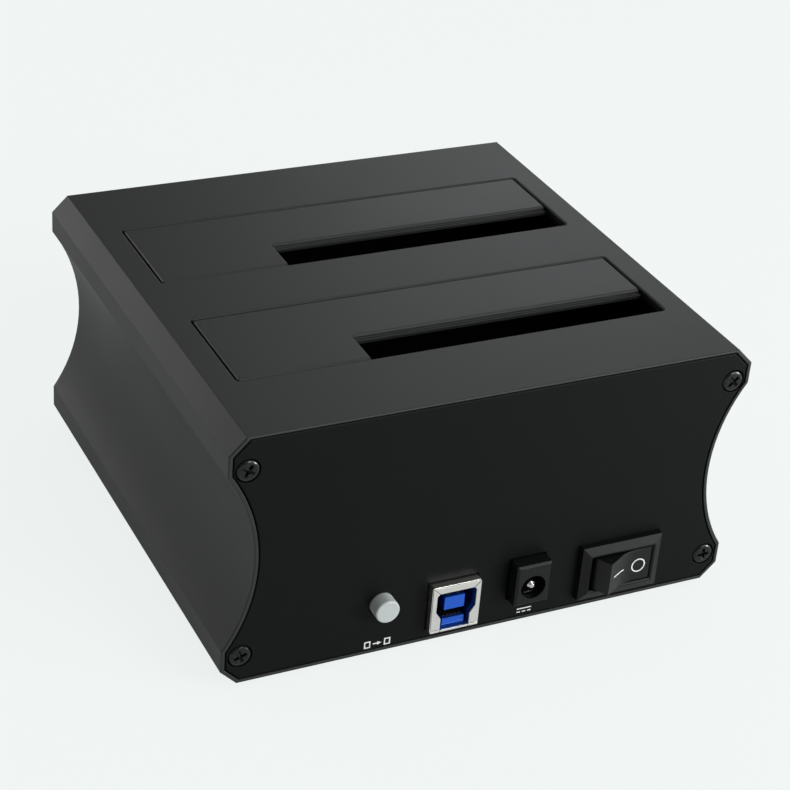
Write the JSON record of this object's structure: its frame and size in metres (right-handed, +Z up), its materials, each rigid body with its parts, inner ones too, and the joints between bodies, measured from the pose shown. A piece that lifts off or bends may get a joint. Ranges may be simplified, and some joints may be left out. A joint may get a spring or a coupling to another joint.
{
  "type": "hard drive docking station",
  "caption": "Desktop dock with a waisted sleeve case: drives stand upright in top bays behind sprung L-shaped flaps; button, host socket, power inlet and rocker switch on one end.",
  "frame": {"origin": "middle of the base, at the height of the feet's undersides", "axes": "+Z up; the end panel with the ports faces -Y; +X is to the right when that panel is faced"},
  "size_m": [0.13, 0.1282, 0.0661],
  "materials": {
    "case": "satin charcoal moulded plastic",
    "panel": "matt black moulded plastic",
    "flap": "satin charcoal moulded plastic",
    "black_screw": "blackened steel",
    "rubber": "matt rubber",
    "inner_plastic": "matt black moulded plastic",
    "steel": "bright steel",
    "spring_steel": "drawn spring wire",
    "board": "green solder mask",
    "chip": "matt black moulding",
    "can": "satin cans",
    "coil": "matt ferrite",
    "connector_plastic": "black moulding",
    "gold": "plated contacts",
    "button": "light grey satin plastic",
    "socket_metal": "plated sheet",
    "blue_plastic": "blue moulding",
    "inlet_plastic": "black moulding",
    "switch_plastic": "black moulding",
    "rocker_plastic": "black moulding with white marks",
    "brass": "brass blades",
    "lead": "red insulated wire",
    "lens": "clear-white lens",
    "light": "clear-blue light body"
  },
  "bodies": {
    "base": {"shell": "case", "port_panel": "panel", "front_panel": "panel", "port_panel_screws": "black_screw", "front_panel_screws": "black_screw", "base_screws": "black_screw", "feet": "rubber", "drive_guide": "inner_plastic", "near_flap_pin": "steel", "far_flap_pin": "steel", "near_flap_spring": "spring_steel", "far_flap_spring": "spring_steel", "main_board": "board", "board_screws": "steel", "bridge_chips": "chip", "capacitors": "can", "power_coil": "coil", "near_drive_connector": "connector_plastic", "far_drive_connector": "connector_plastic", "near_drive_contacts": "gold", "far_drive_contacts": "gold", "start_switch": "connector_plastic", "usb_shell": "socket_metal", "usb_insulator": "blue_plastic", "usb_contacts": "gold", "dc_housing": "inlet_plastic", "dc_pin": "socket_metal", "dc_contacts": "socket_metal", "switch_housing": "switch_plastic", "switch_terminals": "brass", "switch_leads": "lead", "light_lenses": "lens", "status_lights": "light"},
    "near_flap": {"near_flap": "flap"},
    "far_flap": {"far_flap": "flap"},
    "start_button": {"start_cap": "button", "start_plunger": "button"},
    "rocker": {"switch_rocker": "rocker_plastic"}
  },
  "joints": [
    {"name": "near_flap_hinge", "type": "hinge", "parent": "base", "child": "near_flap", "pos_m": [0, -0.00338, 0.0623], "axis": [1, 0, 0], "range_deg": [0, 90], "stiffness_Nm_per_rad": 0.004, "springref_deg": -68.75, "deforming": ["near_flap_spring"]},
    {"name": "far_flap_hinge", "type": "hinge", "parent": "base", "child": "far_flap", "pos_m": [0, 0.04452, 0.0623], "axis": [1, 0, 0], "range_deg": [0, 90], "stiffness_Nm_per_rad": 0.004, "springref_deg": -68.75, "deforming": ["far_flap_spring"]},
    {"name": "start_press", "type": "slide", "parent": "base", "child": "start_button", "axis": [0, 1, 0], "range_m": [0, 0.0015], "stiffness_N_per_m": 800, "springref_m": -0.001},
    {"name": "rocker_tilt", "type": "hinge", "parent": "base", "child": "rocker", "pos_m": [0.03565, -0.05688, 0.0122], "axis": [0, 0, 1], "range_deg": [-30, 0]}
  ]
}
